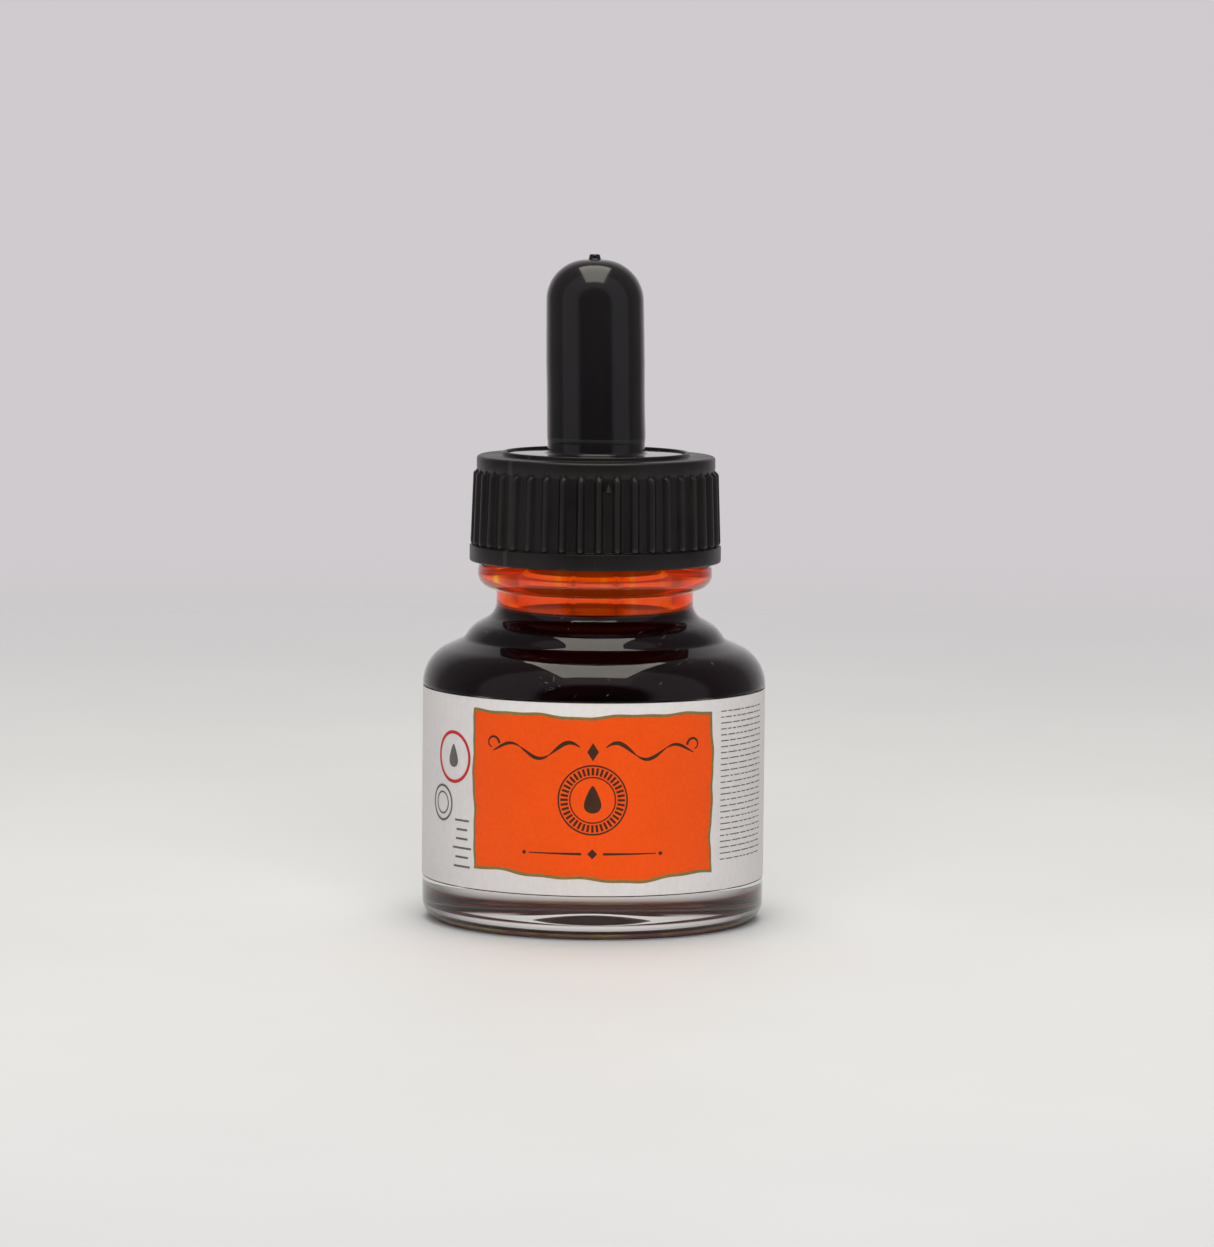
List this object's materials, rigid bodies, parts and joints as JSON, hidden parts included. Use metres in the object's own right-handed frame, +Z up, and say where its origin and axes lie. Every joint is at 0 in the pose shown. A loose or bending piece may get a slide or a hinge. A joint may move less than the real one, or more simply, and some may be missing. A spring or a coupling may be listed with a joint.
{
  "type": "ink bottle with dropper",
  "caption": "Small round glass ink bottle with a stepped shoulder, wrap label, ribbed screw cap, and a rubber teat and glass pipette that lift out.",
  "frame": {"origin": "middle of the flat ring that the bottle stands on", "axes": "+Z up along the bottle's axis towards the teat's tip; -Y is the front, where the middle of the label's panel is; +X is to the right of it"},
  "size_m": [0.0422, 0.0422, 0.0816],
  "materials": {
    "bottle_glass": "clear, polished",
    "ink": "dark liquid, glossy",
    "label_paper": "coated paper, printed orange panel on off-white",
    "cap_plastic": "moulded black plastic, satin",
    "teat_rubber": "glossy black rubber",
    "pipette_glass": "clear, fire-polished ends"
  },
  "bodies": {
    "bottle": {"bottle": "bottle_glass", "ink": "ink", "label": "label_paper"},
    "dropper": {"teat": "teat_rubber", "pipette": "pipette_glass"},
    "cap": {"cap": "cap_plastic"}
  },
  "joints": [
    {"name": "dropper_lift", "type": "slide", "parent": "bottle", "child": "dropper", "axis": [0, 0, 1], "range_m": [0, 0.0509]},
    {"name": "cap_turn", "type": "hinge", "parent": "dropper", "child": "cap", "pos_m": [0, 0, 0.05], "axis": [0, 0, 1], "range_deg": [0, 4320]}
  ],
  "couplings": [
    {"joint": "dropper_lift", "follows": "cap_turn", "m_per_rad": 0.00067375}
  ]
}
